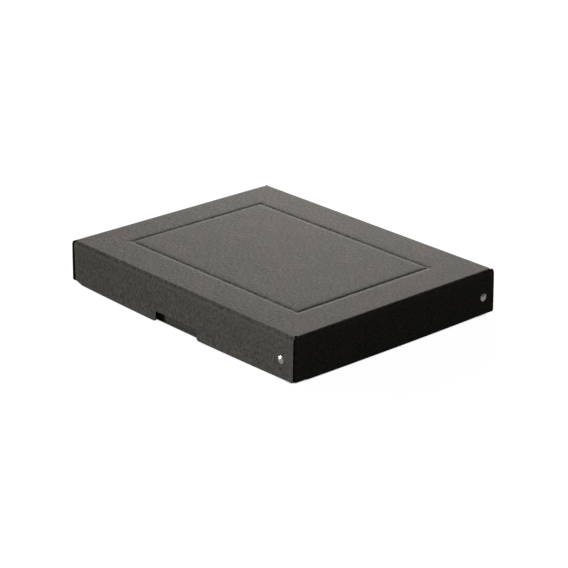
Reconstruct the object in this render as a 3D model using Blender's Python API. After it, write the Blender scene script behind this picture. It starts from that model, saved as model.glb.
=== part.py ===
"""Archival box for A4 papers: a lid that slips down over a tray.

Each half is one sheet of dyed board, creased and folded into a shallow box. At every corner
the end of one wall stands free and hides the flap of the next wall, and a two-piece rivet
holds the two together. Metres, +Z up, origin at the centre of the face the box stands on,
X along the long sides, front towards -Y.
"""

import math
from collections import namedtuple

import bmesh
import bpy
from mathutils import Matrix, Vector

# Box and board
BOX_LENGTH = 0.331
BOX_DEPTH = 0.257
BOX_HEIGHT = 0.0460
BOARD = 0.0014
AIR_GAP = 0.0003

# Lid and tray
LID_EDGE_HEIGHT = 0.0025
TRAY_SETBACK = 0.0040
LID_FOLD_RADIUS = 0.0043
LID_UPRIGHT_RADIUS = 0.0026
TRAY_FOLD_RADIUS = 0.0018
TRAY_UPRIGHT_RADIUS = 0.0016
FOLD_STEPS = 8

# Outline of a wall and of the flap at its folded end
FREE_END_CUT = 0.0013
FREE_END_ROUND = 0.0020
WALL_TAPER_RUN = 0.009
WALL_TAPER_RISE = 0.0020
FLAP_LENGTH = 0.034
FLAP_TOP_SLOPE = 0.0030
FLAP_EDGE_SLOPE = 0.0030
FLAP_CORNER = 0.004

# Thumb notch in the lid's long walls
NOTCH_WIDTH = 0.061
NOTCH_HEIGHT = 0.0102
NOTCH_INNER_ROUND = 0.0010
NOTCH_OUTER_ROUND = 0.0030
ROUND_STEPS = 4

# Pressed frame on the lid, and label marks on the right-hand wall
FRAME_LENGTH = 0.2445
FRAME_DEPTH = 0.1675
FRAME_CENTRE = (-0.00075, -0.00125)
FRAME_GROOVE_WIDTH = 0.0026
FRAME_GROOVE_FLOOR = 0.0009
FRAME_GROOVE_DEPTH = 0.00060
LABEL_FIELD_WIDTH = 0.086
LABEL_MARK_WIDTH = 0.0012
LABEL_MARK_HEIGHT = 0.0125
LABEL_MARK_BASE = 0.0084
LABEL_MARK_DEPTH = 0.0004

# Rivets: a domed post from outside, and a cap whose pin enters the post from inside
RIVET_INSETS = {"front": 0.0173, "right": 0.0152, "back": 0.0173, "left": 0.0152}
RIVET_EDGE_DISTANCE = 0.0177
RIVET_HEAD_RADIUS = 0.0039
RIVET_HEAD_HEIGHT = 0.0015
RIVET_RIM_HEIGHT = 0.0004
RIVET_SEAT_GAP = 0.00015
POST_RADIUS = 0.0018
POST_BORE_RADIUS = 0.0012
POST_BORE_ROOF = 0.0004
CAP_RADIUS = 0.0034
CAP_THICKNESS = 0.0004
CAP_PIN_RADIUS = 0.00085
CAP_PIN_LENGTH = 0.0024
HOLE_RADIUS = POST_RADIUS + AIR_GAP
RIVET_SEGMENTS = 20
DOME_STEPS = 4

STACK = 2 * BOARD + AIR_GAP

Half = namedtuple("Half", "name length depth fold upright wall notch frame label")
Side = namedtuple("Side", "name along out run reach")

LID = Half(
    name="lid",
    length=BOX_LENGTH,
    depth=BOX_DEPTH,
    fold=LID_FOLD_RADIUS,
    upright=LID_UPRIGHT_RADIUS,
    wall=BOX_HEIGHT - LID_EDGE_HEIGHT,
    notch=True,
    frame=True,
    label=True,
)
TRAY = Half(
    name="tray",
    length=BOX_LENGTH - 2 * TRAY_SETBACK,
    depth=BOX_DEPTH - 2 * TRAY_SETBACK,
    fold=TRAY_FOLD_RADIUS,
    upright=TRAY_UPRIGHT_RADIUS,
    wall=BOX_HEIGHT - BOARD - AIR_GAP,
    notch=False,
    frame=False,
    label=False,
)


def clear_scene():
    for obj in list(bpy.data.objects):
        bpy.data.objects.remove(obj, do_unlink=True)


def principled(name, colour, roughness, metallic):
    material = bpy.data.materials.new(name)
    material.use_nodes = True
    shader = material.node_tree.nodes["Principled BSDF"]
    shader.inputs["Base Color"].default_value = (*colour, 1.0)
    shader.inputs["Roughness"].default_value = roughness
    shader.inputs["Metallic"].default_value = metallic
    return material


def add_object(name, bm, material, parent):
    mesh = bpy.data.meshes.new(name)
    bm.to_mesh(mesh)
    bm.free()
    obj = bpy.data.objects.new(name, mesh)
    if material:
        mesh.materials.append(material)
    obj.parent = parent
    bpy.context.scene.collection.objects.link(obj)
    return obj


def add_empty(name, location, rotation):
    empty = bpy.data.objects.new(name, None)
    empty.location = location
    empty.rotation_euler = rotation
    bpy.context.scene.collection.objects.link(empty)
    return empty


def sides(half):
    """The four walls in the half's own frame: outer face of the panel at z = 0, walls below it.

    Each wall runs along `along` to its free end; its folded end carries the flap. `run` is half
    the box's size along the wall, and `reach` is the distance out to the wall's outer face.
    """
    x, y = half.length / 2, half.depth / 2
    return [
        Side("front", Vector((1, 0, 0)), Vector((0, -1, 0)), x, y),
        Side("right", Vector((0, 1, 0)), Vector((1, 0, 0)), y, x),
        Side("back", Vector((-1, 0, 0)), Vector((0, 1, 0)), x, y),
        Side("left", Vector((0, -1, 0)), Vector((-1, 0, 0)), y, x),
    ]


def on_side(side, along, out, z):
    return side.along * along + side.out * out + Vector((0, 0, z))


def folded_end(half, side):
    """Where along its side a wall's flat ends and its upright crease begins."""
    return half.upright + BOARD + AIR_GAP - side.run


def add_face(bm, points):
    bm.faces.new([bm.verts.new(p) for p in points])


def add_strip(bm, first, second):
    """Quads between two rows of points, wound so that they face out."""
    for i in range(len(first) - 1):
        add_face(bm, (first[i], second[i], second[i + 1], first[i + 1]))


def arc(centre_u, centre_v, radius, start, end, steps):
    """Points of an arc in a plane, angles in degrees from the u axis towards v."""
    angles = [math.radians(start + (end - start) * i / steps) for i in range(steps + 1)]
    return [(centre_u + radius * math.cos(a), centre_v + radius * math.sin(a)) for a in angles]


def panel_side(half, side):
    """The panel's edge on one side: its corners, and the place where the wall's crease starts."""
    corner = side.run - half.fold
    stops = [-corner, corner]
    if abs(folded_end(half, side) + corner) > AIR_GAP:
        stops.insert(1, folded_end(half, side))
    return [on_side(side, along, side.reach - half.fold, 0) for along in stops]


def frame_ring(outset, z):
    """A ring of the pressed frame, `outset` from the middle of its groove."""
    x, y = FRAME_LENGTH / 2 + outset, FRAME_DEPTH / 2 + outset
    middle = Vector((*FRAME_CENTRE, z))
    return [middle + Vector((sx * x, sy * y, 0)) for sx, sy in ((-1, -1), (1, -1), (1, 1), (-1, 1))]


def add_panel(bm, half):
    """The flat panel, with the pressed frame where the half has one."""
    edges = [panel_side(half, side) for side in sides(half)]
    if not half.frame:
        add_face(bm, [point for edge in edges for point in edge[:-1]])
        return
    brink, floor = FRAME_GROOVE_WIDTH / 2, FRAME_GROOVE_FLOOR / 2
    rings = [
        frame_ring(brink, 0.0),
        frame_ring(floor, -FRAME_GROOVE_DEPTH),
        frame_ring(-floor, -FRAME_GROOVE_DEPTH),
        frame_ring(-brink, 0.0),
    ]
    for i, edge in enumerate(edges):
        add_face(bm, edge + [rings[0][(i + 1) % len(edges)], rings[0][i]])
    for outer, inner in zip(rings, rings[1:]):
        add_strip(bm, inner + inner[:1], outer + outer[:1])
    add_face(bm, rings[-1])


def add_crease(bm, half, side):
    """The rounded crease from the panel into a wall.

    Past the panel's corner it carries on to the wall's free end as a narrow tab, which
    starts one step down the crease so that it stays clear of the next wall.
    """
    fold = half.fold
    profile = arc(side.reach - fold, -fold, fold, 90, 0, FOLD_STEPS)
    start = folded_end(half, side)
    corner = side.run - fold
    free_end = side.run - FREE_END_CUT
    for step, ((out_a, z_a), (out_b, z_b)) in enumerate(zip(profile, profile[1:])):
        stops = [start, corner] if step == 0 else [start, corner, free_end]
        upper = [on_side(side, s, out_a, z_a) for s in stops]
        lower = [on_side(side, s, out_b, z_b) for s in stops]
        add_strip(bm, upper, lower)


def notch_outline(edge):
    """Thumb notch in a wall's lower edge, from the free end's side to the folded end's side."""
    half_width = NOTCH_WIDTH / 2
    roof = edge + NOTCH_HEIGHT
    inner, outer = NOTCH_INNER_ROUND, NOTCH_OUTER_ROUND
    return (
        arc(half_width + outer, edge + outer, outer, 270, 180, ROUND_STEPS)
        + arc(half_width - inner, roof - inner, inner, 0, 90, ROUND_STEPS)
        + arc(inner - half_width, roof - inner, inner, 90, 180, ROUND_STEPS)
        + arc(-half_width - outer, edge + outer, outer, 0, -90, ROUND_STEPS)
    )


def add_wall(bm, half, side):
    """The flat of a wall: straight down from the crease, with its lower edge's outline."""
    start = folded_end(half, side)
    free_end = side.run - FREE_END_CUT
    edge = -half.wall
    outline = [(side.run - half.fold, -half.fold), (start, -half.fold)]
    outline += [(start, edge + WALL_TAPER_RISE), (start + WALL_TAPER_RUN, edge)]
    if half.notch and side.name in ("front", "back"):
        outline += reversed(notch_outline(edge))
    outline += arc(free_end - FREE_END_ROUND, edge + FREE_END_ROUND, FREE_END_ROUND, -90, 0, ROUND_STEPS)
    outline += [(free_end, -half.fold)]
    add_face(bm, [on_side(side, s, side.reach, z) for s, z in outline])


def add_flap(bm, half, side):
    """The upright crease at a wall's folded end, and the flap behind the wall before it."""
    start = folded_end(half, side)
    radius = half.upright
    top = -half.fold
    low = WALL_TAPER_RISE - half.wall
    profile = arc(start, side.reach - radius, radius, 90, 180, FOLD_STEPS)
    add_strip(
        bm,
        [on_side(side, s, out, top) for s, out in reversed(profile)],
        [on_side(side, s, out, low) for s, out in reversed(profile)],
    )
    s = start - radius
    root = side.reach - radius
    tip = root - FLAP_LENGTH
    outline = [
        (root, top),
        (tip + FLAP_CORNER, top - FLAP_TOP_SLOPE),
        (tip, top - FLAP_TOP_SLOPE - FLAP_CORNER),
        (tip, low + FLAP_EDGE_SLOPE + FLAP_CORNER),
        (tip + FLAP_CORNER, low + FLAP_EDGE_SLOPE),
        (root, low),
    ]
    add_face(bm, [on_side(side, s, out, z) for out, z in outline])


def rivet_frame(half, side):
    """Seat of a rivet on a wall's outer face: local +Z points out of the wall."""
    z = RIVET_EDGE_DISTANCE - half.wall
    place = on_side(side, side.run - RIVET_INSETS[side.name], side.reach, z)
    return Matrix.Translation(place) @ side.out.to_track_quat("Z", "Y").to_matrix().to_4x4()


def add_rivet_hole(bm, half, side):
    length = STACK + 2 * BOARD
    middle = Matrix.Translation((0, 0, -STACK / 2))
    bmesh.ops.create_cone(
        bm,
        cap_ends=True,
        segments=RIVET_SEGMENTS,
        radius1=HOLE_RADIUS,
        radius2=HOLE_RADIUS,
        depth=length,
        matrix=rivet_frame(half, side) @ middle,
    )


def add_block(bm, side, along, out, z):
    """A box on a side, each range given as (low, high)."""
    size = side.along * (along[1] - along[0]) + side.out * (out[1] - out[0])
    centre = on_side(side, sum(along) / 2, sum(out) / 2, sum(z) / 2)
    scale = Matrix.Diagonal((abs(size.x), abs(size.y), z[1] - z[0], 1))
    bmesh.ops.create_cube(bm, size=1, matrix=Matrix.Translation(centre) @ scale)


def add_label_marks(bm, half, side):
    """Two upright pressed marks that show where a label goes."""
    base = LABEL_MARK_BASE - half.wall
    depth = (side.reach - LABEL_MARK_DEPTH, side.reach + BOARD)
    for end in (-1, 1):
        middle = end * LABEL_FIELD_WIDTH / 2
        along = (middle - LABEL_MARK_WIDTH / 2, middle + LABEL_MARK_WIDTH / 2)
        add_block(bm, side, along, depth, (base, base + LABEL_MARK_HEIGHT))


def make_cutter(half, parent):
    bm = bmesh.new()
    for side in sides(half):
        add_rivet_hole(bm, half, side)
        if half.label and side.name == "right":
            add_label_marks(bm, half, side)
    cutter = add_object(half.name + "_cutter", bm, None, parent)
    cutter.display_type = "WIRE"
    cutter.hide_render = True
    return cutter


def make_board(half, material, parent):
    """One sheet folded into panel, walls and flaps, with its holes and marks cut."""
    bm = bmesh.new()
    add_panel(bm, half)
    for side in sides(half):
        add_crease(bm, half, side)
        add_wall(bm, half, side)
        add_flap(bm, half, side)
    bmesh.ops.remove_doubles(bm, verts=bm.verts, dist=1e-6)
    board = add_object(half.name + "_board", bm, material, parent)
    thickness = board.modifiers.new("board thickness", "SOLIDIFY")
    thickness.thickness = BOARD
    thickness.offset = -1
    thickness.use_even_offset = True
    cuts = board.modifiers.new("holes and marks", "BOOLEAN")
    cuts.operation = "DIFFERENCE"
    cuts.solver = "EXACT"
    cuts.object = make_cutter(half, parent)
    return board


def turned(name, profile, material, parent, matrix):
    """A solid of revolution about Z, from (radius, height) points that start and end on the axis."""
    bm = bmesh.new()
    verts = [bm.verts.new((r, 0, z)) for r, z in profile]
    edges = [bm.edges.new(pair) for pair in zip(verts, verts[1:])]
    bmesh.ops.spin(
        bm,
        geom=verts + edges,
        cent=(0, 0, 0),
        axis=(0, 0, 1),
        angle=2 * math.pi,
        steps=RIVET_SEGMENTS,
        use_merge=True,
    )
    bmesh.ops.remove_doubles(bm, verts=bm.verts, dist=1e-6)
    bmesh.ops.recalc_face_normals(bm, faces=bm.faces)
    obj = add_object(name, bm, material, parent)
    obj.data.shade_smooth()
    obj.data.set_sharp_from_angle(angle=math.radians(40))
    obj.matrix_local = matrix
    return obj


def post_profile():
    """Domed head outside the wall, and a hollow post through wall and flap."""
    seat = RIVET_SEAT_GAP
    rim = seat + RIVET_RIM_HEIGHT
    foot = -(STACK - AIR_GAP)
    rise = RIVET_HEAD_HEIGHT - RIVET_RIM_HEIGHT
    angles = [math.radians(90 * i / DOME_STEPS) for i in range(DOME_STEPS + 1)]
    dome = [(RIVET_HEAD_RADIUS * math.sin(a), rim + rise * math.cos(a)) for a in angles]
    dome[0] = (0.0, rim + rise)
    return dome + [
        (RIVET_HEAD_RADIUS, seat),
        (POST_RADIUS, seat),
        (POST_RADIUS, foot),
        (POST_BORE_RADIUS, foot),
        (POST_BORE_RADIUS, -POST_BORE_ROOF),
        (0.0, -POST_BORE_ROOF),
    ]


def cap_profile():
    """Flat cap on the flap's inner face, with the pin that enters the post."""
    seat = -(STACK + RIVET_SEAT_GAP)
    back = seat - CAP_THICKNESS
    bevel = CAP_THICKNESS / 2
    return [
        (0.0, seat + CAP_PIN_LENGTH),
        (CAP_PIN_RADIUS, seat + CAP_PIN_LENGTH),
        (CAP_PIN_RADIUS, seat),
        (CAP_RADIUS, seat),
        (CAP_RADIUS, back + bevel),
        (CAP_RADIUS - bevel, back),
        (0.0, back),
    ]


def make_rivets(half, material, parent):
    for side in sides(half):
        matrix = rivet_frame(half, side)
        turned(f"{half.name}_rivet_{side.name}", post_profile(), material, parent, matrix)
        turned(f"{half.name}_rivet_cap_{side.name}", cap_profile(), material, parent, matrix)


def main():
    clear_scene()
    lid_material = principled("lid_board", (0.085, 0.080, 0.074), 0.85, 0.0)
    tray_material = principled("tray_board", (0.075, 0.071, 0.066), 0.85, 0.0)
    nickel = principled("nickel", (0.72, 0.70, 0.67), 0.25, 1.0)

    lid = add_empty("lid", (0, 0, BOX_HEIGHT), (0, 0, 0))
    make_board(LID, lid_material, lid)
    make_rivets(LID, nickel, lid)

    # The tray is folded the same way as the lid and stands the other way up.
    tray = add_empty("tray", (0, 0, 0), (math.pi, 0, 0))
    make_board(TRAY, tray_material, tray)
    make_rivets(TRAY, nickel, tray)
    bpy.context.view_layer.update()


main()
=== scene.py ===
"""Looks of the archival box: two folded sheets of dyed board, nickel rivets, soft studio light.

Metres, +Z up, in the frame of the CAD model. The CAD nodes give every outside size; each board
and rivet is rebuilt here with rounded edges, bowed walls and a finer surface.
"""
import math
from collections import namedtuple

import bmesh
import bpy
from mathutils import Matrix, Vector, noise


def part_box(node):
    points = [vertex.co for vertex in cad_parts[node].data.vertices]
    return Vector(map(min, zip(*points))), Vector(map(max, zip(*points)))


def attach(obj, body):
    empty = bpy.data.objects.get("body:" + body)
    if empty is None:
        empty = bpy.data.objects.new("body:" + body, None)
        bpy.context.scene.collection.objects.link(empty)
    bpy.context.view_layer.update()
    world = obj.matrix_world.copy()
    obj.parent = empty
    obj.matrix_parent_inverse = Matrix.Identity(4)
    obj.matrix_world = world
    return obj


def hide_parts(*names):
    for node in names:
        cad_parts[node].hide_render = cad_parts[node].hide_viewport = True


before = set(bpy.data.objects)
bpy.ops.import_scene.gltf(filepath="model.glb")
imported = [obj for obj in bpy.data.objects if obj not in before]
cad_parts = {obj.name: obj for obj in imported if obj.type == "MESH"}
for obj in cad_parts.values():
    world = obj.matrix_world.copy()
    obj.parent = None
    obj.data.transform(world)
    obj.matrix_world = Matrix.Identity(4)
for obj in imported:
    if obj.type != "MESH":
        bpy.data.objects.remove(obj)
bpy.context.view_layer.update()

# Camera
CAMERA_AZIMUTH = math.radians(48.44)
CAMERA_ELEVATION = math.radians(21.78)
CAMERA_DISTANCE = 1.9935
CAMERA_LENS = 129.57
CAMERA_AIM = (0.0055, 0.0013, 0.0157)

# Board and folds, as the CAD model has them, apart from the lid's softer upright creases
BOARD = 0.0014
AIR_GAP = 0.0003
STACK = 2 * BOARD + AIR_GAP
LID_FOLD_RADIUS = 0.0043
LID_UPRIGHT_RADIUS = 0.0054
TRAY_FOLD_RADIUS = 0.0018
TRAY_UPRIGHT_RADIUS = 0.0016
FOLD_STEPS = 12
CORNER_STEPS = 11
TAB_START_STEP = 3
FREE_END_CUT = 0.0013
FREE_END_ROUND = 0.0020
WALL_TAPER_RUN = 0.009
WALL_TAPER_RISE = 0.0020
FLAP_LENGTH = 0.034
FLAP_TOP_SLOPE = 0.0030
FLAP_EDGE_SLOPE = 0.0030
FLAP_CORNER = 0.004
NOTCH_WIDTH = 0.061
NOTCH_HEIGHT = 0.0102
NOTCH_INNER_ROUND = 0.0010
NOTCH_OUTER_ROUND = 0.0030
ROUND_STEPS = 6

# Pressed frame and label marks: placed as in the CAD model, with softer and deeper sections
FRAME_LENGTH = 0.2445
FRAME_DEPTH = 0.1675
FRAME_CENTRE = (-0.00075, -0.00125)
FRAME_GROOVE_WIDTH = 0.0040
FRAME_GROOVE_DEPTH = 0.00106
FRAME_GROOVE_REACH = 0.0060
FRAME_GROOVE_STEPS = 14
FRAME_GROOVE_SPACING = 1.5
LABEL_FIELD_WIDTH = 0.086
LABEL_MARK_WIDTH = 0.0012
LABEL_MARK_HEIGHT = 0.0125
LABEL_MARK_BASE = 0.0084
LABEL_MARK_DEPTH = 0.0007
LABEL_MARK_SLOPE = 0.0003

# How the sheet is cut into cells, welded and rounded
GRID = 0.006
CUT_TOLERANCE = 0.000001
WELD = 0.000002
SLIVER = 0.00002
FACES_OUT = 0.99
EDGE_ROUND = 0.00022
EDGE_ROUND_STEPS = 2
ROUNDED_OVER = math.radians(60)
SHEET_SHARP_OVER = math.radians(50)

# How far the sheet is from dead flat: waves all over, walls that bow and drop, free ends that stand off
WAVE_LENGTH = 0.055
WAVE_HEIGHT = 0.00008
WAVE_SHIFT_PER_METRE = 100
WAVE_SEED = 4
BOW_DEPTH = 0.008
BOW_DROP = 0.75
BOW_EASE_DOWN = 1.4
FLARE_RUN = 0.0110
FLARE_EASE_ALONG = 1.5
FLARE_EASE_DOWN = 0.7

# Rivets, as the CAD model has them, with rounded rims and dimpled caps
RIVET_SEGMENTS = 48
RIVET_SHARP_OVER = math.radians(35)
RIVET_HEAD_RADIUS = 0.0039
RIVET_HEAD_TOP = 0.00165
RIVET_SEAT_GAP = 0.00015
RIVET_RIM_ROUND = 0.0002
DOME_STEPS = 10
POST_RADIUS = 0.0018
HOLE_RADIUS = POST_RADIUS + AIR_GAP
POST_BORE_RADIUS = 0.0012
POST_BORE_ROOF = 0.0004
CAP_RADIUS = 0.0034
CAP_THICKNESS = 0.0004
CAP_DIMPLE_RADIUS = 0.0016
CAP_DIMPLE_DEPTH = 0.00015
CAP_PIN_RADIUS = 0.00085
CAP_PIN_LENGTH = 0.0024

# Board material: noises on the unfolded sheet as (scale per metre, detail, roughness, stretch)
LID_COLOUR = (0.062, 0.060, 0.056)
# The tray is darker than the lid as painted shade for its wall where it shows through the thumb notch
TRAY_COLOUR_WITH_PAINTED_SHADE = (0.046, 0.044, 0.041)
WARM = (1.04, 1.0, 0.96)
CLOUD = (38, 3, 0.55, (1.0, 1.0, 1.0))
GRAIN = (560, 4, 0.62, (1.0, 0.45, 1.0))
FIBRE = (1500, 3, 0.6, (1.0, 0.45, 1.0))
FLECK = (900, 2, 0.5, (1.0, 0.3, 1.0))
SCUFF = (260, 4, 0.7, (1.0, 1.0, 1.0))
PLIES = (300, 4, 0.7, (1.0, 1.0, 20.0))
NOISE_SPAN = (0.3, 0.7)
MIDDLE_SPAN = (0.35, 0.65)
FLECK_SPAN = (0.68, 0.80)
SCUFF_SPAN = (0.42, 0.66)
CLOUD_CONTRAST = 0.05
GRAIN_CONTRAST = 0.46
FIBRE_CONTRAST = 0.40
FLECK_CONTRAST = 0.35
SCUFF_CONTRAST = 0.45
SCUFF_GLOSS = 0.3
PANEL_CONTRAST = 1.85
PANEL_BLEND = 0.004
BUMP_HEIGHT = 0.00020
BUMP_GRAIN_SHARE = 0.6
BOARD_ROUGHNESS = (0.80, 0.95)
BOARD_ROUGHNESS_SPAN = (0.2, 0.8)
BOARD_SPECULAR = 0.04
CUT_EDGE_TONE = 0.15

# Along a crease, in metres past the panel's edge: a band of painted shade, then a band of painted
# highlight
FOLD_PAINTED_SHADE_AT = 0.0038
FOLD_PAINTED_SHADE_REACH = 0.0024
FOLD_PAINTED_SHADE_TONE = 0.27
FOLD_PAINTED_HIGHLIGHT_AT = 0.0070
FOLD_PAINTED_HIGHLIGHT_REACH = 0.0021
FOLD_PAINTED_HIGHLIGHT_TONE = 0.15

# Nickel material
SCRATCHES = (5000, 2, 0.5, (1.0, 1.0, 0.05))
SCRATCH_SPAN = (0.6, 0.8)
SCRATCH_ROUGHNESS = 0.12
SCRATCH_DEPTH = 0.00002
SCRATCH_STRENGTH = 0.6
PATCHES = (900, 3, 0.6, (1.0, 1.0, 1.0))
NICKEL_ROUGHNESS = (0.24, 0.34)
NICKEL_BRIGHT = (0.78, 0.76, 0.73)
NICKEL_DULL = (0.68, 0.66, 0.63)

# Studio: (name, place, aimed at, size, power, spread in degrees, colour)
LIGHTS = (
    ("key", (-1.23, 1.31, 0.64), (0.07, 0.15, 0.04), (0.6, 0.25), 34.7, 106, (1.0, 0.962, 0.915)),
    ("fill", (-1.60, -1.60, 0.60), (1.10, -0.13, 0.02), (1.3, 1.0), 10.9, 38, (1.0, 1.01, 0.975)),
    ("glow", (1.50, -1.10, 0.90), (0.1, 0.0, 0.02), (0.6, 0.4), 1.75, 180, (1.0, 1.0, 0.98)),
)
WORLD_GLOW = 0.095
FLOOR_GLOW = 0.985
FLOOR_MIRRORED = 0.25
FLOOR_ALBEDO = 0.03
FLOOR_BOUNCE = 0.03
FLOOR_PATCHES = (6, 2, 0.5, (1.0, 1.0, 1.0))
FLOOR_TONES = (0.98, 1.0)
# Painted contact shadow: occlusion darkens the floor's seen glow right under the box
PAINTED_CONTACT_SHADOW_REACH = 0.006
PAINTED_CONTACT_SHADOW_DARK = 0.10
PAINTED_CONTACT_SHADOW_CLEAR = 0.45
PAINTED_CONTACT_SHADOW_SAMPLES = 16
FLOOR_REACH = 20.0
FLOOR_GAP = 0.0001
FLOOR_CELLS = 8

Half = namedtuple("Half", "name body length depth fold upright wall top flipped bow flare detailed")
Side = namedtuple("Side", "name along out run reach")


def half_from_node(name, body, fold, upright, flipped, bow, flare, detailed):
    """Outside sizes of a half, from its CAD node.

    Bow and flare are given for the front, right, back and left wall. A detailed half has the
    pressed frame, the thumb notches, the label marks and the pinched corners.
    """
    low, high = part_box(name)
    return Half(
        name=name,
        body=body,
        length=high.x - low.x,
        depth=high.y - low.y,
        fold=fold,
        upright=upright,
        wall=high.z - low.z,
        top=low.z if flipped else high.z,
        flipped=flipped,
        bow=bow,
        flare=flare,
        detailed=detailed,
    )


LID = half_from_node(
    "lid_board",
    "lid",
    LID_FOLD_RADIUS,
    LID_UPRIGHT_RADIUS,
    flipped=False,
    bow=(0.0015, 0.0007, 0.0012, 0.0006),
    flare=(0.0009, 0.0010, 0.0012, 0.0015),
    detailed=True,
)
TRAY = half_from_node(
    "tray_board",
    "tray",
    TRAY_FOLD_RADIUS,
    TRAY_UPRIGHT_RADIUS,
    flipped=True,
    bow=(0.0, 0.0, 0.0, 0.0),
    flare=(0.0, 0.0, 0.0, 0.0),
    detailed=False,
)


def placement(half):
    """From a half's own frame, with its panel's outer face at z = 0 and the walls below it."""
    turn = Matrix.Rotation(math.pi, 4, "X") if half.flipped else Matrix.Identity(4)
    return Matrix.Translation((0, 0, half.top)) @ turn


def sides(half):
    x, y = half.length / 2, half.depth / 2
    return [
        Side("front", Vector((1, 0, 0)), Vector((0, -1, 0)), x, y),
        Side("right", Vector((0, 1, 0)), Vector((1, 0, 0)), y, x),
        Side("back", Vector((-1, 0, 0)), Vector((0, 1, 0)), x, y),
        Side("left", Vector((0, -1, 0)), Vector((-1, 0, 0)), y, x),
    ]


def on_side(side, along, out, z):
    return side.along * along + side.out * out + Vector((0, 0, z))


def folded_end(half, side):
    """Where along its side a wall's flat ends and its upright crease begins."""
    return half.upright + BOARD + AIR_GAP - side.run


def arc(centre_u, centre_v, radius, start, end, steps):
    """Points of an arc in a plane, angles in degrees from the u axis towards v."""
    angles = [math.radians(start + (end - start) * i / steps) for i in range(steps + 1)]
    return [(centre_u + radius * math.cos(a), centre_v + radius * math.sin(a)) for a in angles]


# ---------------------------------------------------------------- folded sheet

def add_face(bm, points):
    bm.faces.new([bm.verts.new(p) for p in points])


def add_strip(bm, first, second):
    for i in range(len(first) - 1):
        add_face(bm, (first[i], second[i], second[i + 1], first[i + 1]))


def groove_profile():
    """(distance across, height) of the pressed groove: a hollow whose sides run out softly."""
    edge = 1 / (1 + (2 * FRAME_GROOVE_REACH / FRAME_GROOVE_WIDTH) ** 2)
    points = []
    for i in range(-FRAME_GROOVE_STEPS, FRAME_GROOVE_STEPS + 1):
        share = (abs(i) / FRAME_GROOVE_STEPS) ** FRAME_GROOVE_SPACING
        across = FRAME_GROOVE_REACH * math.copysign(share, i)
        hollow = 1 / (1 + (2 * across / FRAME_GROOVE_WIDTH) ** 2)
        points.append((across, -FRAME_GROOVE_DEPTH * (hollow - edge) / (1 - edge)))
    return points


def panel_side(half, side):
    """The panel's edge on one side: its corners, and the place where the wall's crease starts."""
    corner = side.run - half.fold
    stops = [-corner, corner]
    if abs(folded_end(half, side) + corner) > AIR_GAP:
        stops.insert(1, folded_end(half, side))
    return [on_side(side, along, side.reach - half.fold, 0) for along in stops]


def frame_ring(outset, z):
    """A ring of the pressed frame, `outset` from the middle of its groove."""
    x, y = FRAME_LENGTH / 2 + outset, FRAME_DEPTH / 2 + outset
    middle = Vector((*FRAME_CENTRE, z))
    return [middle + Vector((sx * x, sy * y, 0)) for sx, sy in ((-1, -1), (1, -1), (1, 1), (-1, 1))]


def add_panel(bm, half):
    edges = [panel_side(half, side) for side in sides(half)]
    if not half.detailed:
        add_face(bm, [point for edge in edges for point in edge[:-1]])
        return
    rings = [frame_ring(-across, z) for across, z in groove_profile()]
    for i, edge in enumerate(edges):
        add_face(bm, edge + [rings[0][(i + 1) % len(edges)], rings[0][i]])
    for outer, inner in zip(rings, rings[1:]):
        add_strip(bm, inner + inner[:1], outer + outer[:1])
    add_face(bm, rings[-1])


def add_crease(bm, half, side):
    """The rounded crease from the panel into a wall, with a narrow tab on to the free end."""
    fold = half.fold
    profile = arc(side.reach - fold, -fold, fold, 90, 0, FOLD_STEPS)
    start = folded_end(half, side)
    corner = side.run - fold
    free_end = side.run - FREE_END_CUT
    for step, ((out_a, z_a), (out_b, z_b)) in enumerate(zip(profile, profile[1:])):
        stops = [start, corner] if step < TAB_START_STEP else [start, corner, free_end]
        add_strip(
            bm,
            [on_side(side, s, out_a, z_a) for s in stops],
            [on_side(side, s, out_b, z_b) for s in stops],
        )


def notch_outline(edge):
    half_width = NOTCH_WIDTH / 2
    roof = edge + NOTCH_HEIGHT
    inner, outer = NOTCH_INNER_ROUND, NOTCH_OUTER_ROUND
    return (
        arc(half_width + outer, edge + outer, outer, 270, 180, ROUND_STEPS)
        + arc(half_width - inner, roof - inner, inner, 0, 90, ROUND_STEPS)
        + arc(inner - half_width, roof - inner, inner, 90, 180, ROUND_STEPS)
        + arc(-half_width - outer, edge + outer, outer, 0, -90, ROUND_STEPS)
    )


def add_wall(bm, half, side):
    """A flat wall, from its upright crease to its free end."""
    start = folded_end(half, side)
    free_end = side.run - FREE_END_CUT
    edge = -half.wall
    outline = [(side.run - half.fold, -half.fold), (start, -half.fold)]
    outline += [(start, edge + WALL_TAPER_RISE), (start + WALL_TAPER_RUN, edge)]
    if half.detailed and side.name in ("front", "back"):
        outline += reversed(notch_outline(edge))
    outline += arc(free_end - FREE_END_ROUND, edge + FREE_END_ROUND, FREE_END_ROUND, -90, 0, ROUND_STEPS)
    outline += [(free_end, -half.fold)]
    add_face(bm, [on_side(side, s, side.reach, z) for s, z in outline])


def add_corner(bm, half, side):
    """The pinched board between a wall's top crease and its upright crease."""
    start = folded_end(half, side)
    under_tab = half.fold - BOARD - AIR_GAP
    rows = []
    for i in range(CORNER_STEPS + 1):
        rise = math.radians(90 * i / FOLD_STEPS)
        row = []
        for j in range(FOLD_STEPS + 1):
            turn = math.radians(90 * j / FOLD_STEPS)
            radius = half.fold + (under_tab - half.fold) * math.sin(turn) ** 2
            pull = half.upright - radius * (1 - math.cos(rise))
            along = start - math.sin(turn) * pull
            out = side.reach - half.upright + math.cos(turn) * pull
            row.append(on_side(side, along, out, radius * math.sin(rise) - half.fold))
        rows.append(row)
    for lower, upper in zip(rows, rows[1:]):
        add_strip(bm, lower, upper)


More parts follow.
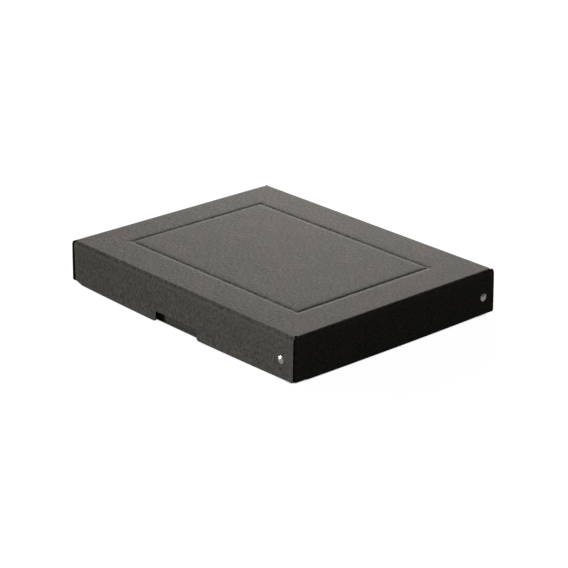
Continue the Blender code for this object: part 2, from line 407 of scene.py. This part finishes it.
def add_flap(bm, half, side):
    """The upright crease at a wall's folded end, and the flap that lies behind the next free end."""
    start = folded_end(half, side)
    radius = half.upright
    top = -half.fold
    low = WALL_TAPER_RISE - half.wall
    profile = arc(start, side.reach - radius, radius, 90, 180, FOLD_STEPS)
    add_strip(
        bm,
        [on_side(side, s, out, top) for s, out in reversed(profile)],
        [on_side(side, s, out, low) for s, out in reversed(profile)],
    )
    root = side.reach - radius
    tip = root - FLAP_LENGTH
    outline = [
        (root, top),
        (tip + FLAP_CORNER, top - FLAP_TOP_SLOPE),
        (tip, top - FLAP_TOP_SLOPE - FLAP_CORNER),
        (tip, low + FLAP_EDGE_SLOPE + FLAP_CORNER),
        (tip + FLAP_CORNER, low + FLAP_EDGE_SLOPE),
        (root, low),
    ]
    add_face(bm, [on_side(side, start - radius, out, z) for out, z in outline])


def cut_plane(bm, faces, point, normal):
    geometry = set(faces)
    for face in faces:
        geometry.update(face.verts)
        geometry.update(face.edges)
    bmesh.ops.bisect_plane(
        bm,
        geom=list(geometry),
        dist=CUT_TOLERANCE,
        plane_co=point,
        plane_no=normal,
    )


def cut_grid(bm, half):
    """Cuts the sheet into cells small enough to bend."""
    extents = (half.length / 2, half.depth / 2, half.wall)
    for axis, extent in enumerate(extents):
        normal = Vector((0, 0, 0))
        normal[axis] = 1
        low, high = (-extent, 0) if axis == 2 else (-extent, extent)
        count = round((high - low) / GRID)
        for i in range(1, count):
            point = normal * (low + (high - low) * i / count)
            cut_plane(bm, bm.faces[:], point, normal)


def press_label_marks(bm, half, side):
    """Two upright pressed marks on a wall, with sloping sides."""
    base = LABEL_MARK_BASE - half.wall
    ends = (base, base + LABEL_MARK_HEIGHT)
    middles = [sign * LABEL_FIELD_WIDTH / 2 for sign in (-1, 1)]
    reach = LABEL_MARK_WIDTH / 2
    wall_depth = side.reach - BOARD / 2

    def wall_faces():
        facing = [f for f in bm.faces if f.normal.dot(side.out) > FACES_OUT]
        return [f for f in facing if f.calc_center_median().dot(side.out) > wall_depth]

    for middle in middles:
        for offset in (-reach, LABEL_MARK_SLOPE - reach, reach - LABEL_MARK_SLOPE, reach):
            cut_plane(bm, wall_faces(), on_side(side, middle + offset, side.reach, 0), side.along)
    for z in (ends[0], ends[0] + LABEL_MARK_SLOPE, ends[1] - LABEL_MARK_SLOPE, ends[1]):
        cut_plane(bm, wall_faces(), on_side(side, 0, side.reach, z), Vector((0, 0, 1)))
    slack = LABEL_MARK_SLOPE / 2
    for vert in bm.verts:
        on_wall = vert.co.dot(side.out) >= wall_depth
        between_ends = ends[0] + slack < vert.co.z < ends[1] - slack
        in_mark = any(abs(vert.co.dot(side.along) - middle) < reach - slack for middle in middles)
        if on_wall and between_ends and in_mark:
            vert.co -= side.out * LABEL_MARK_DEPTH


def bent(half, point):
    """Where a point of the flat-walled half lies once its walls bow and its free ends stand off."""
    moved = point.copy()
    for side, bow, flare in zip(sides(half), half.bow, half.flare):
        behind = side.reach - point.dot(side.out)
        if behind > BOW_DEPTH:
            continue
        along = point.dot(side.along)
        down = min(max((-point.z - half.fold) / (half.wall - half.fold), 0), 1)
        amount = max(1 - (along / side.run) ** 2, 0) * down**BOW_EASE_DOWN
        moved += (side.out - Vector((0, 0, BOW_DROP))) * bow * amount
        beyond_rivet = max((along - side.run) / FLARE_RUN + 1, 0)
        if behind < BOARD / 2:
            moved += side.out * flare * beyond_rivet**FLARE_EASE_ALONG * down**FLARE_EASE_DOWN
    shift = Vector((0, 0, half.wall * WAVE_SHIFT_PER_METRE))
    wave = noise.noise_vector(point / WAVE_LENGTH + shift)
    wave.z = (wave.z - 1) / 2  # only away from the panel's outer face, to keep the half's height
    return moved + wave * WAVE_HEIGHT


def apply_modifiers(obj):
    graph = bpy.context.evaluated_depsgraph_get()
    mesh = bpy.data.meshes.new_from_object(obj.evaluated_get(graph))
    obj.modifiers.clear()
    old = obj.data
    obj.data = mesh
    bpy.data.meshes.remove(old)


def merge_slivers(mesh):
    """Closes up the hair-thin faces that the rounding leaves where folds meet."""
    bm = bmesh.new()
    bm.from_mesh(mesh)
    bmesh.ops.remove_doubles(bm, verts=bm.verts, dist=SLIVER)
    bm.to_mesh(mesh)
    bm.free()


def add_object(name, bm, materials):
    mesh = bpy.data.meshes.new(name)
    bm.to_mesh(mesh)
    bm.free()
    for material in materials:
        mesh.materials.append(material)
    obj = bpy.data.objects.new(name, mesh)
    bpy.context.scene.collection.objects.link(obj)
    return obj


def unfolded(half, point):
    """(x, y, depth into the board) of a point, with the sheet laid flat again."""
    side = max(sides(half), key=lambda s: point.dot(s.out) - s.reach)
    beyond = point.dot(side.out) - side.reach + half.fold
    if beyond <= 0:
        return Vector((point.x, point.y, -point.z))
    drop = -point.z
    turned_by = math.atan2(beyond, max(half.fold - drop, 0))
    flat = point - side.out * beyond
    flat += side.out * (half.fold * turned_by + max(drop - half.fold, 0))
    return Vector((flat.x, flat.y, min(drop, half.fold - beyond)))


def mark_sheet(mesh, half):
    """Stores where each point lies on the flat sheet, and how far past the panel's edge."""
    mesh.attributes.new("sheet", "FLOAT_VECTOR", "POINT")
    mesh.attributes.new("crease", "FLOAT", "POINT")
    sheet, crease = mesh.attributes["sheet"], mesh.attributes["crease"]
    edge = Vector((half.length / 2 - half.fold, half.depth / 2 - half.fold))
    back = placement(half).inverted()
    for vert, place, beyond in zip(mesh.vertices, sheet.data, crease.data):
        flat = unfolded(half, back @ vert.co)
        place.vector = flat
        beyond.value = max(abs(flat.x) - edge.x, abs(flat.y) - edge.y)


def rivet_frame(half, side):
    """Seat of a rivet on its wall's outer face, local +Z out of the wall, from its CAD node."""
    low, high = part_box(half.name.replace("board", "rivet_" + side.name))
    centre = placement(half).inverted() @ ((low + high) / 2)
    seat = centre + side.out * (side.reach - centre.dot(side.out))
    return Matrix.Translation(seat) @ side.out.to_track_quat("Z", "Y").to_matrix().to_4x4()


def make_cutter(half):
    """Plugs that pierce wall and flap where the rivets go."""
    bm = bmesh.new()
    for side in sides(half):
        matrix = rivet_frame(half, side) @ Matrix.Translation((0, 0, -STACK / 2))
        bmesh.ops.create_cone(
            bm,
            cap_ends=True,
            segments=RIVET_SEGMENTS,
            radius1=HOLE_RADIUS,
            radius2=HOLE_RADIUS,
            depth=STACK + 2 * BOARD,
            matrix=matrix,
        )
    return add_object(half.name + "_holes", bm, [])


def make_board(half, materials):
    """The folded sheet: flat walls first, then bent, thickened, pierced for the rivets and rounded.

    The faces take the first material and the cut edges the second.
    """
    bm = bmesh.new()
    add_panel(bm, half)
    for side in sides(half):
        add_crease(bm, half, side)
        add_wall(bm, half, side)
        if half.detailed:
            add_corner(bm, half, side)
        add_flap(bm, half, side)
    bmesh.ops.remove_doubles(bm, verts=bm.verts, dist=WELD)
    cut_grid(bm, half)
    bm.normal_update()
    if half.detailed:
        press_label_marks(bm, half, sides(half)[1])
    for vert in bm.verts:
        vert.co = bent(half, vert.co)
    obj = add_object(half.name.replace("board", "sheet"), bm, materials)
    thickness = obj.modifiers.new("thickness", "SOLIDIFY")
    thickness.thickness = BOARD
    thickness.offset = -1
    thickness.use_even_offset = True
    thickness.material_offset_rim = 1
    cutter = make_cutter(half)
    holes = obj.modifiers.new("holes", "BOOLEAN")
    holes.operation = "DIFFERENCE"
    holes.solver = "EXACT"
    holes.object = cutter
    rounding = obj.modifiers.new("rounding", "BEVEL")
    rounding.width = EDGE_ROUND
    rounding.segments = EDGE_ROUND_STEPS
    rounding.limit_method = "ANGLE"
    rounding.angle_limit = ROUNDED_OVER
    apply_modifiers(obj)
    merge_slivers(obj.data)
    bpy.data.objects.remove(cutter, do_unlink=True)
    obj.data.transform(placement(half))
    obj.data.shade_smooth()
    obj.data.set_sharp_from_angle(angle=SHEET_SHARP_OVER)
    mark_sheet(obj.data, half)
    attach(obj, half.body)
    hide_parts(half.name)


# ---------------------------------------------------------------- rivets

def turned(name, profile, material):
    """A solid of revolution about Z, from (radius, height) points that start and end on the axis."""
    bm = bmesh.new()
    verts = [bm.verts.new((r, 0, z)) for r, z in profile]
    edges = [bm.edges.new(pair) for pair in zip(verts, verts[1:])]
    bmesh.ops.spin(
        bm,
        geom=verts + edges,
        cent=(0, 0, 0),
        axis=(0, 0, 1),
        angle=2 * math.pi,
        steps=RIVET_SEGMENTS,
        use_merge=True,
    )
    bmesh.ops.remove_doubles(bm, verts=bm.verts, dist=CUT_TOLERANCE)
    bmesh.ops.recalc_face_normals(bm, faces=bm.faces)
    obj = add_object(name, bm, [material])
    obj.data.shade_smooth()
    obj.data.set_sharp_from_angle(angle=RIVET_SHARP_OVER)
    return obj


def post_profile():
    """Domed head with a rounded rim, and a hollow post with a rounded foot."""
    rim = RIVET_RIM_ROUND
    reach = RIVET_HEAD_RADIUS - rim
    shoulder = RIVET_SEAT_GAP + 2 * rim
    dome = []
    for i in range(DOME_STEPS + 1):
        r = reach * i / DOME_STEPS
        dome.append((r, shoulder + (RIVET_HEAD_TOP - shoulder) * (1 - (r / reach) ** 2)))
    foot = -(STACK - AIR_GAP)
    foot_round = (POST_RADIUS - POST_BORE_RADIUS) / 2
    return (
        dome
        + arc(reach, RIVET_SEAT_GAP + rim, rim, 90, -90, ROUND_STEPS)[1:]
        + [(POST_RADIUS, RIVET_SEAT_GAP)]
        + arc(POST_RADIUS - foot_round, foot + foot_round, foot_round, 0, -180, ROUND_STEPS)
        + [(POST_BORE_RADIUS, -POST_BORE_ROOF), (0.0, -POST_BORE_ROOF)]
    )


def cap_profile():
    """Flat cap with a rounded rim and a shallow dimple, and the pin that enters the post."""
    seat = -(STACK + RIVET_SEAT_GAP)
    rim = CAP_THICKNESS / 2
    back = seat - CAP_THICKNESS
    tip = seat + CAP_PIN_LENGTH
    tip_round = CAP_PIN_RADIUS / 2
    dimple = []
    for i in range(DOME_STEPS, -1, -1):
        r = CAP_DIMPLE_RADIUS * i / DOME_STEPS
        dimple.append((r, back + CAP_DIMPLE_DEPTH * (1 - (r / CAP_DIMPLE_RADIUS) ** 2)))
    return (
        [(0.0, tip)]
        + arc(CAP_PIN_RADIUS - tip_round, tip - tip_round, tip_round, 90, 0, ROUND_STEPS)
        + [(CAP_PIN_RADIUS, seat)]
        + arc(CAP_RADIUS - rim, seat - rim, rim, 90, -90, ROUND_STEPS)
        + dimple
    )


def make_rivets(half, material):
    """A rivet and its inner cap in each wall's free end."""
    for side in sides(half):
        matrix = placement(half) @ rivet_frame(half, side)
        for part, profile in (("rivet", post_profile()), ("rivet_cap", cap_profile())):
            node = half.name.replace("board", f"{part}_{side.name}")
            obj = turned(f"{side.name}_{part}_of_{half.body}", profile, material)
            obj.data.transform(matrix)
            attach(obj, half.body)
            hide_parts(node)


# ---------------------------------------------------------------- materials

class Surface:
    """A node material, with short calls to add nodes and link them."""

    def __init__(self, name):
        self.material = bpy.data.materials.new(name)
        self.material.use_nodes = True
        self.tree = self.material.node_tree
        self.shader = self.tree.nodes["Principled BSDF"]

    def node(self, kind, inputs=None, **settings):
        made = self.tree.nodes.new("ShaderNode" + kind)
        for key, value in settings.items():
            setattr(made, key, value)
        for key, value in (inputs or {}).items():
            self.plug(value, made.inputs[key])
        return made

    def plug(self, value, socket):
        if isinstance(value, bpy.types.NodeSocket):
            self.tree.links.new(value, socket)
        else:
            socket.default_value = value

    def math(self, operation, *values):
        return self.node("Math", dict(enumerate(values)), operation=operation).outputs[0]

    def attribute(self, name, output):
        return self.node("Attribute", attribute_name=name).outputs[output]

    def noise(self, vector, settings):
        scale, detail, roughness, stretch = settings
        stretched = self.node("Mapping", {"Vector": vector, "Scale": stretch}).outputs[0]
        inputs = {"Vector": stretched, "Scale": scale, "Detail": detail, "Roughness": roughness}
        return self.node("TexNoise", inputs).outputs["Fac"]

    def remap(self, value, low, high, to_low=0.0, to_high=1.0):
        inputs = {"Value": value, "From Min": low, "From Max": high, "To Min": to_low, "To Max": to_high}
        return self.node("MapRange", inputs).outputs[0]

    def mix(self, factor, first, second):
        mixed = self.node("Mix", data_type="RGBA")
        for name, value in (("Factor_Float", factor), ("A_Color", first), ("B_Color", second)):
            self.plug(value, next(s for s in mixed.inputs if s.identifier == name))
        return next(s for s in mixed.outputs if s.identifier == "Result_Color")

    def hump(self, value, middle, reach):
        """1 at the middle, down to 0 at `reach` on either side of it."""
        distance = self.math("ABSOLUTE", self.math("SUBTRACT", value, middle))
        return self.node(
            "MapRange",
            {"Value": distance, "From Min": 0.0, "From Max": reach, "To Min": 1.0, "To Max": 0.0},
            interpolation_type="SMOOTHSTEP",
        ).outputs[0]

    def scaled(self, colour, factor):
        return self.node("VectorMath", {0: colour, "Scale": factor}, operation="SCALE").outputs[0]

    def added(self, tone, change):
        return self.math("ADD", tone, change)

    def set(self, **inputs):
        for name, value in inputs.items():
            self.plug(value, self.shader.inputs[name.replace("_", " ")])


def board_tone(surface, cloud, grain, fibre, fleck, crease, worn):
    """How much lighter or darker than its colour the board is, as a share, with painted shade and a
    painted highlight along the creases.
    """
    tone = surface.remap(cloud, *NOISE_SPAN, -CLOUD_CONTRAST, CLOUD_CONTRAST)
    tone = surface.added(tone, surface.remap(grain, *NOISE_SPAN, -GRAIN_CONTRAST, GRAIN_CONTRAST))
    tone = surface.added(tone, surface.remap(fibre, *NOISE_SPAN, -FIBRE_CONTRAST, FIBRE_CONTRAST))
    tone = surface.added(tone, surface.remap(fleck, *FLECK_SPAN, 0.0, FLECK_CONTRAST))
    panel = surface.remap(crease, 0.0, -PANEL_BLEND, 1.0, PANEL_CONTRAST)
    tone = surface.math("MULTIPLY", tone, panel)
    tone = surface.added(tone, surface.math("MULTIPLY", worn, SCUFF_CONTRAST))
    # Painted shade in a band along each crease, then a painted highlight further out
    pressed = surface.hump(crease, FOLD_PAINTED_SHADE_AT, FOLD_PAINTED_SHADE_REACH)
    tone = surface.added(tone, surface.math("MULTIPLY", pressed, -FOLD_PAINTED_SHADE_TONE))
    painted_fold_highlight = surface.hump(crease, FOLD_PAINTED_HIGHLIGHT_AT, FOLD_PAINTED_HIGHLIGHT_REACH)
    return surface.added(tone, surface.math("MULTIPLY", painted_fold_highlight, FOLD_PAINTED_HIGHLIGHT_TONE))


def board_material(name, colour, cut_edge):
    """Solid-dyed board: fibres along Y of the flat sheet, mottling, flecks and scuffed creases, with
    painted shade and highlight along the creases.
    """
    surface = Surface(name)
    sheet = surface.attribute("sheet", "Vector")
    crease = surface.attribute("crease", "Fac")
    cloud, grain, fibre, fleck, scuff = [
        surface.noise(sheet, settings) for settings in (CLOUD, GRAIN, FIBRE, FLECK, SCUFF)
    ]
    arris = surface.hump(crease, LID_FOLD_RADIUS / 2, LID_FOLD_RADIUS)
    worn = surface.math("MULTIPLY", arris, surface.remap(scuff, *SCUFF_SPAN))
    tone = board_tone(surface, cloud, grain, fibre, fleck, crease, worn)
    tone = surface.math("MULTIPLY", surface.added(tone, 1.0), CUT_EDGE_TONE if cut_edge else 1.0)
    warmer = [channel * warmth for channel, warmth in zip(colour, WARM)]
    tint = surface.mix(surface.remap(cloud, *MIDDLE_SPAN), (*colour, 1), (*warmer, 1))
    height = surface.added(
        surface.math("MULTIPLY", grain, BUMP_GRAIN_SHARE),
        surface.math("MULTIPLY", fibre, 1 - BUMP_GRAIN_SHARE),
    )
    if cut_edge:
        height = surface.added(height, surface.noise(sheet, PLIES))
    relief = {"Height": height, "Distance": BUMP_HEIGHT, "Strength": 1.0}
    polish = surface.math("SUBTRACT", grain, surface.math("MULTIPLY", worn, SCUFF_GLOSS))
    surface.set(
        Base_Color=surface.scaled(tint, tone),
        Roughness=surface.remap(polish, *BOARD_ROUGHNESS_SPAN, *BOARD_ROUGHNESS),
        Specular_IOR_Level=BOARD_SPECULAR,
        Normal=surface.node("Bump", relief).outputs[0],
    )
    return surface.material


def nickel_material():
    """Nickel plate: bright, finely scratched, a little duller in patches."""
    surface = Surface("polished nickel")
    place = surface.node("TexCoord").outputs["Object"]
    scratches = surface.noise(place, SCRATCHES)
    patches = surface.noise(place, PATCHES)
    roughness = surface.added(
        surface.remap(patches, *MIDDLE_SPAN, *NICKEL_ROUGHNESS),
        surface.remap(scratches, *SCRATCH_SPAN, 0.0, SCRATCH_ROUGHNESS),
    )
    relief = {"Height": scratches, "Distance": SCRATCH_DEPTH, "Strength": SCRATCH_STRENGTH}
    tint = surface.mix(surface.remap(patches, *NOISE_SPAN), (*NICKEL_BRIGHT, 1), (*NICKEL_DULL, 1))
    surface.set(
        Base_Color=tint,
        Metallic=1.0,
        Roughness=roughness,
        Normal=surface.node("Bump", relief).outputs[0],
    )
    return surface.material


# ---------------------------------------------------------------- studio

def make_camera():
    data = bpy.data.cameras.new("camera")
    data.lens = CAMERA_LENS
    camera = bpy.data.objects.new("camera", data)
    across = math.cos(CAMERA_ELEVATION)
    back = Vector(
        (
            math.sin(CAMERA_AZIMUTH) * across,
            -math.cos(CAMERA_AZIMUTH) * across,
            math.sin(CAMERA_ELEVATION),
        )
    )
    camera.location = Vector(CAMERA_AIM) + back * CAMERA_DISTANCE
    camera.rotation_euler = (-back).to_track_quat("-Z", "Y").to_euler()
    bpy.context.scene.collection.objects.link(camera)
    bpy.context.scene.camera = camera


def make_light(name, location, target, size, power, spread, colour):
    data = bpy.data.lights.new(name, "AREA")
    data.shape = "RECTANGLE"
    data.size, data.size_y = size
    data.energy = power
    data.spread = math.radians(spread)
    data.color = colour
    light = bpy.data.objects.new(name, data)
    light.location = location
    direction = Vector(target) - Vector(location)
    light.rotation_euler = direction.to_track_quat("-Z", "Y").to_euler()
    light.visible_camera = False
    bpy.context.scene.collection.objects.link(light)


def make_world():
    """White behind the object, and only a dim glow on it."""
    world = bpy.data.worlds.new("studio")
    bpy.context.scene.world = world
    world.use_nodes = True
    nodes, links = world.node_tree.nodes, world.node_tree.links
    background = nodes["Background"]
    rays = nodes.new("ShaderNodeLightPath")
    seen = nodes.new("ShaderNodeMapRange")
    seen.inputs["To Min"].default_value = WORLD_GLOW
    seen.inputs["To Max"].default_value = 1.0
    links.new(rays.outputs["Is Camera Ray"], seen.inputs["Value"])
    links.new(seen.outputs[0], background.inputs["Strength"])
    background.inputs["Color"].default_value = (1, 1, 1, 1)


def floor_material():
    """Pale sweep: evenly white where it is seen, with a painted contact shadow right under the box,
    and it throws little light back."""
    surface = Surface("studio floor")
    rays = surface.node("LightPath").outputs
    place = surface.node("TexCoord").outputs["Object"]
    tone = surface.remap(surface.noise(place, FLOOR_PATCHES), *NOISE_SPAN, *FLOOR_TONES)
    # Painted contact shadow: the seen glow is dimmed where the box hems the floor in
    sky = surface.node("AmbientOcclusion", {"Distance": PAINTED_CONTACT_SHADOW_REACH}, samples=PAINTED_CONTACT_SHADOW_SAMPLES)
    painted_contact_shadow = surface.remap(sky.outputs["AO"], PAINTED_CONTACT_SHADOW_DARK, PAINTED_CONTACT_SHADOW_CLEAR)
    seen = surface.math("MULTIPLY", rays["Is Camera Ray"], FLOOR_GLOW)
    seen = surface.math("MULTIPLY", seen, painted_contact_shadow)
    mirrored = surface.math("MULTIPLY", rays["Is Glossy Ray"], FLOOR_MIRRORED)
    diffuse = surface.math("MULTIPLY", rays["Is Camera Ray"], FLOOR_ALBEDO)
    diffuse = surface.math("MULTIPLY", surface.added(diffuse, FLOOR_BOUNCE), tone)
    grey = {"Red": diffuse, "Green": diffuse, "Blue": diffuse}
    surface.set(
        Base_Color=surface.node("CombineColor", grey).outputs[0],
        Roughness=1.0,
        Specular_IOR_Level=0.0,
        Emission_Color=(1, 1, 1, 1),
        Emission_Strength=surface.added(seen, mirrored),
    )
    return surface.material


def make_floor():
    bm = bmesh.new()
    bmesh.ops.create_grid(bm, x_segments=FLOOR_CELLS, y_segments=FLOOR_CELLS, size=FLOOR_REACH)
    bmesh.ops.translate(bm, verts=bm.verts, vec=(0, 0, -FLOOR_GAP))
    floor = add_object("floor", bm, [floor_material()])


def main():
    noise.seed_set(WAVE_SEED)  # noise_vector would otherwise take its offsets from the clock
    bpy.context.scene.view_settings.view_transform = "Standard"
    make_camera()
    make_floor()
    make_world()
    for light in LIGHTS:
        make_light(*light)
    nickel = nickel_material()
    for half, colour in ((LID, LID_COLOUR), (TRAY, TRAY_COLOUR_WITH_PAINTED_SHADE)):
        face = board_material(half.name + " face", colour, cut_edge=False)
        edge = board_material(half.name + " cut edge", colour, cut_edge=True)
        make_board(half, [face, edge])
        make_rivets(half, nickel)


main()
